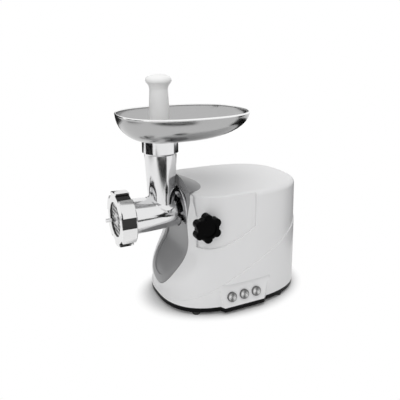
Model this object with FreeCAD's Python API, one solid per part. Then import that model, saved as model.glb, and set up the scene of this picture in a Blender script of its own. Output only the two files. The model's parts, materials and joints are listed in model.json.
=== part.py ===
import FreeCAD, Part
import math
import os
from FreeCAD import Vector

# Electric meat grinder, in millimetres. Shapes are drawn about the point where the feed neck's
# axis crosses the grinding head's axis: +X runs to the rear, -Y is the side with the lock knob
# and the buttons, +Z is up. On export they move so that the origin is on the floor, under the
# middle of the whole machine.

# Body shell
axis_height = 139.5
foot_height = 5.0
base_height = 6.5
body_top = 40.0
body_centre = 94.0
base_front_length = 105.0
top_front_length = 74.0
rear_length = 123.6
half_width = 86.0
side_draft = 3.5
rear_draft = 5.0
plan_roundness = 2.62
front_squareness = 4.2
flare_start = 26.0
flare_end = 86.0
top_round = 8.0
shell_wall = 2.2
top_wall = 3.0
crease_step = 1.2
crease_front_height = -12.0
crease_middle_height = 50.5
crease_rear_height = 123.0
crease_overrun = 25.0

# Lengths by which cutting shapes run past what they cut
overcut = 40.0
clear = 1.0
wide = 400.0
edge_tolerance = 0.01

# Flat recess round the lock knob
recess_depth = 2.2
recess_front = 27.0
recess_rear = 111.0
recess_front_drop = 37.0
recess_middle_drop = 30.0
recess_rear_drop = 12.0
recess_lag = 6.0

# Control facet and its buttons
facet_height = 33.0
facet_top_reach = 81.0
lip_reach = 91.0
lip_front = 53.0
lip_rear = 138.0
lip_front_slope = 6.0
lip_rear_slope = 13.0
lip_root = 20.0
lip_overlap = 1.0
button_count = 3
button_pitch = 20.5
button_first = 71.5
button_height = 14.0
button_radius = 7.2
button_proud = 3.0
button_travel = 2.5
button_gap = 0.2
button_flange = 1.6
button_flange_height = 1.5
button_stem_radius = 3.0
button_stem_length = 4.0
button_inner_length = 9.0
button_dish = 0.8
button_edge = 0.8
switch_gap = 0.4
switch_width = 13.0
switch_depth = 8.0
switch_height = 11.0
board_thickness = 1.6
board_height = 60.0
board_margin = 6.0

# Grey front panel with its hood
panel_half_width = 42.0
panel_straight_drop = 60.0
panel_tip_drop = 110.0
panel_depth = 3.0
panel_gap = 0.8
panel_bore_gap = 1.2
panel_border = 8.0
panel_tip_border = 13.0
panel_field_depth = 1.6
panel_field_top = 20.0
hood_half_width = 47.0
hood_rise = 16.0
hood_setback = 1.4
hood_length = 32.0
hood_tip_half_width = 6.0
hood_tip_rise = 0.5

# Head socket, lock screw and knob
spigot_radius = 22.0
spigot_start = 26.5
spigot_length = 33.5
running_gap = 0.05
socket_front = 27.0
socket_end_gap = 2.0
socket_wall = 5.0
socket_end_wall = 3.0
collar_radius = 40.0
collar_wall = 2.0
collar_front = 21.6
collar_length = 2.4
collar_gap = 0.3
collar_edge = 0.8
collar_drop = 9.0
cup_rear = 40.0
lock_x = 31.0
lock_boss_radius = 5.7
lock_boss_length = 10.0
lock_boss_gap = 0.6
lock_nut_radius = 4.9
lock_nut_wall = 1.0
lock_screw_radius = 4.0
lock_screw_gap = 0.5
lock_tip_gap = 0.3
lock_seat_radius = 9.0
lock_seat_proud = 0.6
lock_washer_radius = 8.0
lock_washer_thickness = 1.5
lock_washer_gap = 0.3
knob_disc_radius = 16.0
knob_lobe_radius = 6.2
knob_lobe_circle = 14.4
knob_lobes = 6
knob_thickness = 14.4
knob_clearance = 0.8
knob_hub_radius = 8.5
knob_edge = 2.0
knob_face_radius = 11.0
knob_face_depth = 1.5

# Grinding head
tube_front_radius = 26.5
tube_rear_radius = 22.6
tube_front = -46.0
thread_radius = 31.0
thread_front = -65.0
thread_length = 16.0
chamber_radius = 27.3
chamber_length = 8.0
bore_front_radius = 24.0
bore_rear_radius = 19.5
bore_end = 40.0
neck_low_radius = 20.0
neck_low = 28.0
neck_top_radius = 23.2
neck_top = 91.0
neck_wall = 3.2
mouth_radius = 25.6
mouth_top = 108.5
mouth_chamfer = 2.5
mouth_bore = 22.6
saddle_radius = 23.2
saddle_rise = 1.2
lug_radius = 3.5
lug_x = 15.0
lug_top = 27.5
bush_radius = 11.0

# Auger, knife, plate and ring nut
auger_core_radius = 9.0
auger_end_gap = 1.0
auger_flight_bite = 1.5
auger_pitch = 24.0
auger_turns = 3
auger_flight_gap = 0.8
auger_flight_root = 2.4
auger_flight_tip = 1.4
journal_radius = 8.0
tail_width = 10.0
tail_length = 16.0
tail_gap = 0.3
stud_radius = 3.0
stud_tip = -84.0
knife_square = 9.0
knife_thickness = 5.5
knife_arm_width = 9.0
knife_reach = 25.0
knife_hub_radius = 9.0
plate_thickness = 5.0
plate_bore = 4.1
plate_gap = 0.3
plate_hole_radius = 2.4
plate_hole_pitch = 6.6
nut_front = -71.0
nut_length = 21.0
nut_root_radius = 35.2
nut_tip_radius = 40.2
nut_notch_width = 15.0
nut_lobes = 6
nut_lobe_angle = -8.0
nut_lip = 2.0
nut_opening = 25.0
nut_thread_gap = 0.3
nut_edge = 1.2

# Tray and pusher
tray_centre = 35.5
tray_half_length = 94.5
tray_half_width = 73.0
tray_roundness = 2.46
tray_rim = 144.0
tray_floor_front = -25.0
tray_floor_rear = 50.0
tray_floor_half_width = 27.0
tray_wall = 1.2
tray_bead = 1.6
spout_gap = 0.3
spout_wall = 1.2
spout_depth = 15.0
pusher_bottom = 27.0
pusher_bottom_radius = 15.6
pusher_rim_radius = 14.4
pusher_waist = 177.0
pusher_waist_radius = 12.5
pusher_head_radius = 17.6
pusher_head_height = 189.0
pusher_top = 197.0
pusher_wall = 2.6
pusher_crown_radius = 14.2
pusher_shoulder_radius = 17.1
pusher_shoulder_drop = 3.0
pusher_brow_rise = 5.0
pusher_flare_bow = 0.7

# Gear train, from the motor pinion to the output gear
pressure_angle = math.radians(20.0)
tooth_addendum = 0.8
tooth_dedendum = 1.1
tooth_backlash = 0.16
output_module = 1.25
output_teeth = 50
second_module = 1.0
second_teeth = 48
first_module = 0.8
first_teeth = 60
pinion_teeth = 12
second_idler_angle = math.radians(-68.8)
first_idler_angle = math.radians(209.8)
motor_angle = math.radians(-55.2)
gear_start = 70.0
output_width = 12.0
second_width = 8.0
first_width = 6.0
layer_gap = 2.0
pinion_overlap = 0.5
idler_pin_radius = 3.0
drive_shaft_radius = 9.0
drive_bush_radius = 12.0
gearbox_wall = 2.4
gearbox_gap = 1.0
gearbox_plate = 3.0
gearbox_foot_width = 24.0
gearbox_foot_drop = 5.0
gearbox_screw_radius = 1.75
gearbox_lug_radius = 4.5
gearbox_screw_depth = 12.0
shaft_end = 1.0
shaft_front_gap = 0.5
post_wall = 3.0
post_inset = 4.0

# Motor
rotor_shaft_radius = 3.5
rotor_radius = 19.6
rotor_slots = 12
rotor_slot_width = 2.2
rotor_slot_depth = 6.0
air_gap = 0.7
stack_start = 132.0
stack_length = 42.0
stator_width = 74.0
stator_height = 62.0
stator_corner = 9.0
pole_gap_height = 14.0
yoke_thickness = 8.0
coil_overhang = 7.0
coil_gap = 0.5
coil_split = 1.5
coil_round = 2.5
coil_air = 2.0
pole_overlap = 3.0
winding_gap = 2.0
bracket_thickness = 4.0
bracket_rear = 194.0
bracket_hub_wall = 3.0
bracket_window = 14.0
bearing_radius = 9.5
bearing_width = 6.0
through_bolt_radius = 2.0
bolt_inset = 6.0
fan_radius = 27.0
fan_start = 115.0
fan_width = 8.0
fan_disc = 2.0
fan_blades = 9
fan_hub = 4.0
fan_blade_thickness = 1.6
commutator_radius = 10.5
commutator_length = 12.0
brush_width = 5.0
brush_gap = 0.3
brush_holder_gap = 1.5
brush_length = 12.0
brush_holder_wall = 2.0
brush_holder_length = 18.0
motor_pad_thickness = 5.0
motor_pad_length = 28.0
motor_pad_width = 44.0

# Base, feet, screws and cord gland
foot_radius = 6.5
foot_stem_radius = 3.0
foot_front_x = 24.0
foot_rear_x = 163.0
foot_side_inset = 7.0
foot_taper = 1.0
base_screw_radius = 1.8
base_screw_length = 22.0
screw_head_ratio = 2.0
screw_head_height = 2.6
screw_head_gap = 0.2
screw_head_sink = 0.3
screw_tip_gap = 1.0
post_radius = 6.0
post_height = 34.0
post_front_x = 48.0
post_rear_x = 150.0
post_wall_inset = 3.0
vent_count = 5
vent_width = 3.0
vent_length = 44.0
vent_pitch = 7.0
gland_side = 25.0
gland_height = 16.0
gland_radius = 6.5
gland_flange = 9.0
gland_reach = 1.5
gland_bore = 3.6
gland_depth = 12.0

# Values that follow from the sizes above
body_bottom = foot_height + base_height - axis_height
body_height = body_top - body_bottom
cavity_inset = crease_step + recess_depth + shell_wall
body_rear = body_centre + rear_length
body_front = body_centre - top_front_length + crease_step
facet_lean = math.atan2(lip_reach - facet_top_reach, facet_height)
facet_top = body_bottom + facet_height
button_axis = Vector(0, -math.cos(facet_lean), math.sin(facet_lean))
socket_radius = spigot_radius + running_gap
socket_outer = socket_radius + socket_wall
lock_boss_end = socket_radius + lock_boss_length
collar_rear = collar_front + collar_length
spigot_end = spigot_start + spigot_length
socket_end = spigot_end + socket_end_gap
gearbox_front = socket_end + socket_end_wall
second_start = gear_start + output_width + layer_gap
first_start = second_start + second_width + layer_gap
gears_end = first_start + first_width
gearbox_rear = gears_end + layer_gap
cover_rear = gearbox_rear + gearbox_plate
output_distance = output_module * (output_teeth + pinion_teeth) / 2
second_distance = second_module * (second_teeth + pinion_teeth) / 2
first_distance = first_module * (first_teeth + pinion_teeth) / 2
second_arm = Vector(0, math.cos(second_idler_angle), math.sin(second_idler_angle))
first_arm = Vector(0, math.cos(first_idler_angle), math.sin(first_idler_angle))
motor_arm = Vector(0, math.cos(motor_angle), math.sin(motor_angle))
second_axis = second_arm * output_distance
first_axis = second_axis + first_arm * second_distance
motor_axis = first_axis + motor_arm * first_distance
stack_end = stack_start + stack_length
nut_back = nut_front + nut_length
plate_front = nut_front + nut_lip
knife_front = plate_front + plate_thickness
flight_start = thread_front + chamber_length + auger_end_gap
far_reach = half_width
front_reach = -stud_tip
rear_reach = body_rear + gland_reach

pieces = {}


def box(x0, x1, y0, y1, z0, z1):
    return Part.makeBox(x1 - x0, y1 - y0, z1 - z0, Vector(x0, y0, z0))


def along_x(radius, x0, x1, axis=Vector(0, 0, 0)):
    return Part.makeCylinder(radius, x1 - x0, Vector(x0, axis.y, axis.z), Vector(1, 0, 0))


def along_y(radius, y0, y1, x, z):
    return Part.makeCylinder(radius, y1 - y0, Vector(x, y0, z), Vector(0, 1, 0))


def along_z(radius, z0, z1, x=0.0, y=0.0):
    return Part.makeCylinder(radius, z1 - z0, Vector(x, y, z0))


def cone_x(r0, r1, x0, x1):
    return Part.makeCone(r0, r1, x1 - x0, Vector(x0, 0, 0), Vector(1, 0, 0))


def cone_z(r0, r1, z0, z1, x=0.0, y=0.0):
    return Part.makeCone(r0, r1, z1 - z0, Vector(x, y, z0))


def tube_x(outer, inner, x0, x1, axis=Vector(0, 0, 0)):
    return along_x(outer, x0, x1, axis).cut(along_x(inner, x0, x1, axis))


def prism(points, direction):
    return Part.Face(Part.makePolygon(points + [points[0]])).extrude(direction)


def fuse_all(shapes):
    return shapes[0].multiFuse(shapes[1:]).removeSplitter() if len(shapes) > 1 else shapes[0]


def about_x(shape, angle, axis=Vector(0, 0, 0)):
    turned = shape.copy()
    turned.rotate(axis, Vector(1, 0, 0), math.degrees(angle))
    return turned


def ease(share):
    share = max(0.0, min(1.0, share))
    return share * share * (3 - 2 * share)


def superellipse(front, rear, side, front_power, rear_power, centre, z, count=24):
    # a closed curve that starts on the far side, where no other feature is
    points = []
    for step in range(count):
        angle = math.pi / 2 + 2 * math.pi * step / count
        c, s = math.cos(angle), math.sin(angle)
        power, length = (front_power, front) if c < 0 else (rear_power, rear)
        reach = (abs(c) ** power + abs(s) ** power) ** (-1 / power)
        points.append(Vector(centre + length * reach * c, side * reach * s, z))
    curve = Part.BSplineCurve()
    curve.interpolate(points, True)
    return Part.Wire([curve.toShape()])


def plan_sizes(z, inset):
    share = (z - body_bottom) / body_height
    lean = ease((z - body_bottom - flare_start) / (flare_end - flare_start))
    front = base_front_length + (top_front_length - base_front_length) * lean - inset
    power = plan_roundness + (front_squareness - plan_roundness) * lean
    return front, rear_length - rear_draft * share - inset, half_width - side_draft * share - inset, power


def plan(z, inset):
    front, rear, side, power = plan_sizes(z, inset)
    return superellipse(front, rear, side, power, plan_roundness, body_centre, z)


def side_at(x, z, inset):
    front, rear, side, power = plan_sizes(z, inset)
    length, power = (front, power) if x < body_centre else (rear, plan_roundness)
    return side * (1 - (abs(x - body_centre) / length) ** power) ** (1 / power)


def body_loft(inset, top=body_top):
    flare_steps = 4
    heights = [body_bottom]
    for step in range(flare_steps + 1):
        heights.append(body_bottom + flare_start + (flare_end - flare_start) * step / flare_steps)
    for share in (0.2, 0.6):
        heights.append(body_bottom + flare_end + (body_height - flare_end) * share)
    heights.append(top)
    return Part.makeLoft([plan(z, inset) for z in heights], True, False)


def tongue(inset, tip_inset, top, x0, x1):
    half = panel_half_width - inset
    low = panel_tip_drop - tip_inset - panel_straight_drop
    left, right = Vector(x0, -half, -panel_straight_drop), Vector(x0, half, -panel_straight_drop)
    tip = Vector(x0, 0, -panel_straight_drop - low)
    oval = Part.Ellipse(tip, right, Vector(x0, 0, -panel_straight_drop))
    if low < half:
        oval = Part.Ellipse(right, tip, Vector(x0, 0, -panel_straight_drop))
    start, end = oval.parameter(left), oval.parameter(right)
    lower = Part.ArcOfEllipse(oval, min(start, end), max(start, end)).toShape()
    if lower.CenterOfMass.z > -panel_straight_drop:
        lower = Part.ArcOfEllipse(oval, max(start, end), min(start, end) + 2 * math.pi).toShape()
    sides = Part.makePolygon([left, Vector(x0, -half, top), Vector(x0, half, top), right])
    outline = Part.Wire(Part.__sortEdges__([lower] + sides.Edges))
    return Part.Face(outline).extrude(Vector(x1 - x0, 0, 0))


def below_crease():
    y, z = -2 * half_width, body_bottom
    front, rear = body_centre - base_front_length - crease_overrun, body_rear + crease_overrun
    start = Vector(front, y, z + crease_front_height)
    middle = Vector(body_centre, y, z + crease_middle_height)
    end = Vector(rear, y, z + crease_rear_height)
    low = z - crease_overrun
    corners = [end, Vector(rear, y, low), Vector(front, y, low), start]
    edges = [Part.Arc(start, middle, end).toShape()] + Part.makePolygon(corners).Edges
    return Part.Face(Part.Wire(Part.__sortEdges__(edges))).extrude(Vector(0, 4 * half_width, 0))


def recess_block():
    y, top = -2 * half_width, body_top + clear
    start = Vector(recess_front, y, -recess_front_drop)
    middle = Vector((recess_front + recess_rear) / 2 + recess_lag, y, -recess_middle_drop)
    end = Vector(recess_rear, y, -recess_rear_drop)
    corners = [end, Vector(recess_rear, y, top), Vector(recess_front, y, top), start]
    edges = [Part.Arc(start, middle, end).toShape()] + Part.makePolygon(corners).Edges
    return Part.Face(Part.Wire(Part.__sortEdges__(edges))).extrude(Vector(0, 2 * half_width, 0))


def lip_block(z0, z1):
    wall = -facet_top_reach + lip_overlap
    inner = wall + lip_root
    points = [(lip_front, inner), (lip_front, wall), (lip_front + lip_front_slope, -lip_reach),
              (lip_rear - lip_rear_slope, -lip_reach), (lip_rear, wall), (lip_rear, inner)]
    return prism([Vector(x, y, z0) for x, y in points], Vector(0, 0, z1 - z0))


def facet_cutter():
    out = -lip_reach - overcut
    points = [(-facet_top_reach, facet_top), (-lip_reach, body_bottom), (out, body_bottom), (out, facet_top)]
    return prism([Vector(lip_front, y, z) for y, z in points], Vector(lip_rear - lip_front, 0, 0))


def button_places():
    z = body_bottom + button_height
    y = -lip_reach + button_height * math.tan(facet_lean)
    return [Vector(button_first + button_pitch * i, y, z) for i in range(button_count)]


def button_rod(place, radius, start, end):
    # start and end are measured outwards from the facet
    return Part.makeCylinder(radius, end - start, place + button_axis * start, button_axis)


def post_places():
    places = []
    for x in (post_front_x, post_rear_x):
        for side in (-1, 1):
            places.append((x, side * (side_at(x, body_bottom, cavity_inset) - post_wall_inset)))
    return places


def foot_places():
    places = []
    for x in (foot_front_x, foot_rear_x):
        for side in (-1, 1):
            places.append((x, side * (side_at(x, body_bottom, 0) - foot_side_inset)))
    return places


def gland_axis():
    return Vector(0, gland_side, body_bottom + gland_height)


def socket_hole():
    return along_x(collar_radius + panel_gap, spigot_start - overcut, cup_rear + panel_gap)


def below_arch(rise):
    # what lies under the foot of the arch round the socket
    return box(-wide, wide, -wide, wide, -wide, rise - collar_drop)


def main_housing(plain, outer):
    rim = [e for e in plain.Edges if e.BoundBox.ZMin > body_top - edge_tolerance]
    upper = plain.makeFillet(top_round, rim)
    shell = upper.fuse(outer.common(below_crease())).fuse(lip_block(body_bottom, facet_top))
    shell = shell.cut(facet_cutter())
    shell = shell.cut(recess_block().cut(body_loft(crease_step + recess_depth, body_top + clear)))
    shell = shell.fuse(along_y(lock_seat_radius, lock_seat_face(), -half_width / 2, lock_x, 0))
    room = box(-wide, wide, -wide, wide, body_bottom - clear, body_top - top_wall)
    cavity = body_loft(cavity_inset).common(room)
    for x, y in post_places():
        cavity = cavity.cut(along_z(post_radius, body_bottom - clear, body_bottom + post_height, x, y))
    shell = shell.cut(cavity)
    pocket = tongue(-panel_gap, -panel_gap, body_top + overcut, -overcut, body_front + overcut)
    shell = shell.cut(pocket.cut(body_loft(crease_step + panel_depth, body_top + clear)))
    holes = [socket_hole(), along_x(gland_radius, body_rear - overcut, body_rear + overcut, gland_axis())]
    holes.append(along_y(lock_screw_radius + lock_screw_gap, -2 * half_width, 0, lock_x, 0))
    for place in button_places():
        bore = button_radius + button_gap
        seat = button_flange_height - button_inner_length + button_gap
        holes.append(button_rod(place, bore, -button_inner_length, overcut))
        holes.append(button_rod(place, bore + button_flange, -2 * button_inner_length, seat))
    for x, y in post_places():
        holes.append(along_z(base_screw_radius, body_bottom - clear, body_bottom + base_screw_length, x, y))
    return shell.cut(holes)


def hood():
    front = body_front + hood_setback
    steps = 5
    wires = []
    for step in range(steps):
        share = step / (steps - 1)
        half = hood_tip_half_width
        half += (hood_half_width - hood_tip_half_width) * math.sqrt(1 - share ** 2)
        rise = hood_tip_rise + (hood_rise - hood_tip_rise) * (1 - share)
        x = front + hood_length * share
        left, right = Vector(x, -half, body_top), Vector(x, half, body_top)
        arch = Part.Arc(left, Vector(x, 0, body_top + rise), right).toShape()
        wires.append(Part.Wire([arch, Part.makeLine(right, left)]))
    return Part.makeLoft(wires, True, False)


def front_panel(plain):
    skin = tongue(0, 0, body_top, -overcut, body_front + overcut).common(plain)
    skin = skin.cut(body_loft(crease_step + panel_depth, body_top + clear))
    field = tongue(panel_border, panel_tip_border, panel_field_top, -overcut, body_front + overcut)
    skin = skin.cut(field.cut(body_loft(crease_step + panel_field_depth, body_top + clear)))
    panel = skin.fuse(hood())
    arch = along_x(collar_radius + collar_gap, body_front - overcut, body_front + overcut)
    bore = along_x(tube_rear_radius + panel_bore_gap, body_front - overcut, body_front + overcut)
    return panel.cut([arch.cut(below_arch(-collar_gap)), bore])


def socket_collar():
    ring = tube_x(collar_radius, collar_radius - collar_wall, collar_front, collar_rear)
    rim = [e for e in ring.Edges if e.BoundBox.XMax < collar_front + edge_tolerance]
    return ring.makeFillet(collar_edge, rim).cut(below_arch(0))


def socket_cup():
    inside = along_x(collar_radius - collar_wall, collar_rear, cup_rear - collar_wall)
    cup = along_x(collar_radius, collar_rear, cup_rear).cut(below_arch(0))
    cup = cup.cut(inside.cut(below_arch(collar_wall)))
    cup = cup.cut(along_x(socket_outer, collar_rear, cup_rear))
    return cup.cut(along_y(lock_screw_radius + lock_screw_gap, -half_width, 0, lock_x, 0))


def base_plate():
    outline = Part.Face(plan(body_bottom, 0)).extrude(Vector(0, 0, -base_height))
    plate = outline.fuse(lip_block(body_bottom - base_height, body_bottom))
    plate = plate.fuse(gearbox_post()).fuse(motor_post())
    low = body_bottom - base_height
    head = base_screw_radius * screw_head_ratio
    for x, y in post_places():
        plate = plate.cut(along_z(base_screw_radius, low, body_bottom, x, y))
        plate = plate.cut(along_z(head, low, low + screw_head_height, x, y))
    for x, y in foot_places():
        plate = plate.cut(along_z(foot_stem_radius, low, body_bottom - base_height / 2, x, y))
    for i in range(vent_count):
        x = motor_pad().BoundBox.XMax + vent_pitch * (i + 1) - vent_width / 2
        plate = plate.cut(box(x, x + vent_width, -vent_length / 2, vent_length / 2, low, body_bottom))
    return plate.removeSplitter()


def feet():
    low = -axis_height
    shapes = []
    for x, y in foot_places():
        pad = cone_z(foot_radius - foot_taper, foot_radius, low, low + foot_height, x, y)
        stem = along_z(foot_stem_radius, low + foot_height, body_bottom - base_height / 2, x, y)
        shapes.append(pad.fuse(stem))
    return Part.makeCompound(shapes)


def base_screws():
    low = body_bottom - base_height
    shapes = []
    for x, y in post_places():
        radius = base_screw_radius * screw_head_ratio - screw_head_gap
        head = along_z(radius, low + screw_head_sink, low + screw_head_height, x, y)
        tip = body_bottom + base_screw_length - screw_tip_gap
        shank = along_z(base_screw_radius, low + screw_head_height, tip, x, y)
        shapes.append(head.fuse(shank))
    return Part.makeCompound(shapes)


def cord_gland(outer):
    axis = gland_axis()
    flange = along_x(gland_flange, body_rear - gland_depth, rear_reach, axis).cut(outer)
    sleeve = along_x(gland_radius, body_rear - gland_depth, rear_reach, axis)
    return flange.fuse(sleeve).cut(along_x(gland_bore, body_rear - overcut, rear_reach + overcut, axis))


def gear(module, teeth, axis, x0, x1, aim, gap_first):
    # aim is the direction of the mating gear; a gap or a tooth points that way
    pitch = module * teeth / 2
    ground = pitch * math.cos(pressure_angle)
    tip, root = pitch + module * tooth_addendum, pitch - module * tooth_dedendum
    spread = math.pi / (2 * teeth) - tooth_backlash / (2 * pitch) + math.tan(pressure_angle) - pressure_angle
    flank = []
    low = max(root, ground)
    flank_steps = 3
    for step in range(flank_steps + 1):
        r = low + (tip - low) * step / flank_steps
        angle = math.acos(min(1.0, ground / r))
        flank.append((r, spread - math.tan(angle) + angle))
    if root < ground:
        flank.insert(0, (root, flank[0][1]))
    start = aim + (math.pi / teeth if gap_first else 0)
    points = []
    for tooth in range(teeth):
        centre = start + 2 * math.pi * tooth / teeth
        profile = [(r, centre - half) for r, half in flank]
        profile += [(r, centre + half) for r, half in reversed(flank)]
        for r, angle in profile:
            points.append(Vector(x0, axis.y + r * math.cos(angle), axis.z + r * math.sin(angle)))
    return prism(points, Vector(x1 - x0, 0, 0))


def output_gear():
    teeth = gear(output_module, output_teeth, Vector(0, 0, 0), gear_start, gear_start + output_width,
                 second_idler_angle, True)
    return teeth.cut(along_x(drive_shaft_radius, gear_start, gear_start + output_width))


def square_x(width, x0, x1):
    return box(x0, x1, -width / 2, width / 2, -width / 2, width / 2)


def drive_shaft():
    shaft = along_x(drive_shaft_radius, socket_end + shaft_front_gap, cover_rear + shaft_end)
    return shaft.cut(square_x(tail_width + 2 * tail_gap, socket_end, spigot_end + tail_length + clear))


def drive_bushes():
    inner = drive_shaft_radius + running_gap
    front = tube_x(drive_bush_radius, inner, socket_end, gearbox_front + gearbox_plate)
    return Part.makeCompound([front, tube_x(drive_bush_radius, inner, gearbox_rear, cover_rear)])


def second_idler():
    big_aim = math.atan2(first_axis.z - second_axis.z, first_axis.y - second_axis.y)
    pinion = gear(output_module, pinion_teeth, second_axis, gear_start - pinion_overlap, second_start,
                  second_idler_angle + math.pi, False)
    wheel = gear(second_module, second_teeth, second_axis, second_start, second_start + second_width,
                 big_aim, True)
    bore = along_x(idler_pin_radius + running_gap, gear_start - layer_gap, gears_end, second_axis)
    return pinion.fuse(wheel).cut(bore)


def first_idler():
    pinion = gear(second_module, pinion_teeth, first_axis, second_start - pinion_overlap, first_start,
                  first_idler_angle + math.pi, False)
    wheel = gear(first_module, first_teeth, first_axis, first_start, gears_end, motor_angle, True)
    bore = along_x(idler_pin_radius + running_gap, second_start - layer_gap, gears_end, first_axis)
    return pinion.fuse(wheel).cut(bore)


def idler_pins():
    start = gearbox_front + gearbox_plate / 2
    return Part.makeCompound([along_x(idler_pin_radius, start, cover_rear, axis)
                              for axis in (second_axis, first_axis)])


def gear_room(grow, x0, x1):
    output = output_module * (output_teeth / 2 + tooth_addendum)
    second = second_module * (second_teeth / 2 + tooth_addendum)
    first = first_module * (first_teeth / 2 + tooth_addendum)
    rooms = [along_x(output + grow, x0, x1), along_x(second + grow, x0, x1, second_axis)]
    rooms.append(along_x(first + grow, x0, x1, first_axis))
    pinion = first_module * (pinion_teeth / 2 + tooth_addendum)
    rooms.append(along_x(pinion + grow, x0, x1, motor_axis))
    return rooms


def gearbox_lugs():
    # screw lugs on the gearbox wall, one above each side of the motor and two beside the output gear
    output = output_module * (output_teeth / 2 + tooth_addendum) + gearbox_gap + gearbox_wall
    first = first_module * (first_teeth / 2 + tooth_addendum) + gearbox_gap + gearbox_wall
    lugs = []
    for axis, reach, angle in ((Vector(0, 0, 0), output, 10), (Vector(0, 0, 0), output, 170),
                               (first_axis, first, 200), (second_axis, first, -5)):
        turn = math.radians(angle)
        lugs.append(axis + Vector(0, math.cos(turn), math.sin(turn)) * (reach + gearbox_lug_radius / 2))
    return lugs


def gearbox_foot():
    low = first_axis.z - first_module * (first_teeth / 2 + tooth_addendum) - gearbox_gap - gearbox_wall
    return low - gearbox_foot_drop


def gearbox_outline(x0, x1):
    rooms = gear_room(gearbox_gap + gearbox_wall, x0, x1)
    rooms += [along_x(gearbox_lug_radius, x0, x1, lug) for lug in gearbox_lugs()]
    half = gearbox_foot_width / 2
    rooms.append(box(x0, x1, first_axis.y - half, first_axis.y + half, gearbox_foot(), first_axis.z))
    return fuse_all(rooms)


def gearbox_housing():
    case = gearbox_outline(gearbox_front, gearbox_rear)
    case = case.cut(fuse_all(gear_room(gearbox_gap, gearbox_front + gearbox_plate, gearbox_rear)))
    case = case.fuse(along_x(socket_outer, socket_front, gearbox_front))
    case = case.fuse(along_y(lock_boss_radius, -lock_boss_end, 0, lock_x, 0))
    case = case.cut(along_x(socket_radius, socket_front, socket_end))
    lead = socket_front - 2 * lock_boss_radius
    case = case.cut(along_x(tube_rear_radius + lock_boss_gap, lead, socket_front))
    case = case.cut(along_x(drive_bush_radius, socket_end, gearbox_front + gearbox_plate))
    case = case.cut(along_y(lock_nut_radius, -lock_boss_end, -socket_radius - lock_nut_wall, lock_x, 0))
    case = case.cut(along_y(lock_screw_radius + lock_tip_gap, -half_width, 0, lock_x, 0))
    for axis in (second_axis, first_axis):
        case = case.cut(along_x(idler_pin_radius, gearbox_front + gearbox_plate / 2, gearbox_rear, axis))
    for lug in gearbox_lugs():
        case = case.cut(along_x(gearbox_screw_radius, gearbox_rear - gearbox_screw_depth, gearbox_rear, lug))
    return case.removeSplitter()


def gearbox_cover():
    cover = gearbox_outline(gearbox_rear, cover_rear).fuse(motor_plate(gearbox_rear, cover_rear))
    cover = cover.cut(along_x(drive_bush_radius, gearbox_rear, cover_rear))
    cover = cover.cut(along_x(bearing_radius, gearbox_rear, cover_rear, motor_axis))
    for axis in (second_axis, first_axis):
        cover = cover.cut(along_x(idler_pin_radius, gearbox_rear, cover_rear, axis))
    for lug in gearbox_lugs():
        cover = cover.cut(along_x(gearbox_screw_radius, gearbox_rear, cover_rear, lug))
    for bolt in bolt_places():
        cover = cover.cut(along_x(through_bolt_radius, gearbox_rear, cover_rear, bolt))
    return cover.removeSplitter()


def gearbox_screws():
    shapes = []
    tip = gearbox_rear - gearbox_screw_depth + screw_tip_gap
    radius = gearbox_screw_radius * screw_head_ratio
    for lug in gearbox_lugs():
        shank = along_x(gearbox_screw_radius, tip, cover_rear, lug)
        head = along_x(radius, cover_rear, cover_rear + screw_head_height, lug)
        shapes.append(shank.fuse(head))
    return Part.makeCompound(shapes)


def lock_nut():
    sleeve = along_y(lock_nut_radius, -lock_boss_end, -socket_radius - lock_nut_wall, lock_x, 0)
    return sleeve.cut(along_y(lock_screw_radius + running_gap, -half_width, 0, lock_x, 0))


def motor_plate(x0, x1):
    half_y, half_z = stator_width / 2, stator_height / 2
    y, z = motor_axis.y, motor_axis.z
    return box(x0, x1, y - half_y, y + half_y, z - half_z, z + half_z)


def bolt_places():
    half_y, half_z = stator_width / 2 - bolt_inset, stator_height / 2 - bolt_inset
    return [motor_axis + Vector(0, y * half_y, z * half_z) for y in (-1, 1) for z in (-1, 1)]


def motor_bracket(x0):
    # a flat end plate with a hub that holds one bearing
    hub = along_x(bearing_radius + bracket_hub_wall, x0, x0 + bearing_width, motor_axis)
    half = bracket_window
    windows = box(x0, x0 + bracket_thickness, motor_axis.y - half, motor_axis.y + half,
                  motor_axis.z + half, motor_axis.z + stator_height / 2 - bolt_inset)
    lower = windows.mirror(motor_axis, Vector(0, 0, 1))
    plate = motor_plate(x0, x0 + bracket_thickness).cut(windows).cut(lower).fuse(hub)
    plate = plate.cut(along_x(bearing_radius, x0, x0 + bearing_width, motor_axis))
    for bolt in bolt_places():
        plate = plate.cut(along_x(through_bolt_radius, x0, x0 + bracket_thickness, bolt))
    return plate.removeSplitter()


def motor_bearings():
    inner = rotor_shaft_radius + running_gap
    front = tube_x(bearing_radius, inner, cover_rear, cover_rear + bearing_width, motor_axis)
    rear = tube_x(bearing_radius, inner, bracket_rear, bracket_rear + bearing_width, motor_axis)
    return Part.makeCompound([front, rear])


def stator_core():
    block = motor_plate(stack_start, stack_end)
    corners = [e for e in block.Edges if abs(e.BoundBox.XLength - stack_length) < edge_tolerance]
    block = block.makeFillet(stator_corner / 2, corners)
    block = block.cut(along_x(rotor_radius + air_gap, stack_start, stack_end, motor_axis))
    for side in (-1, 1):
        y0 = motor_axis.y + side * (rotor_radius - pole_overlap)
        y1 = motor_axis.y + side * (stator_width / 2 - yoke_thickness)
        slot = box(stack_start, stack_end, min(y0, y1), max(y0, y1),
                   motor_axis.z - pole_gap_height, motor_axis.z + pole_gap_height)
        block = block.cut(slot)
    for bolt in bolt_places():
        block = block.cut(along_x(through_bolt_radius, stack_start, stack_end, bolt))
    return block


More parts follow.
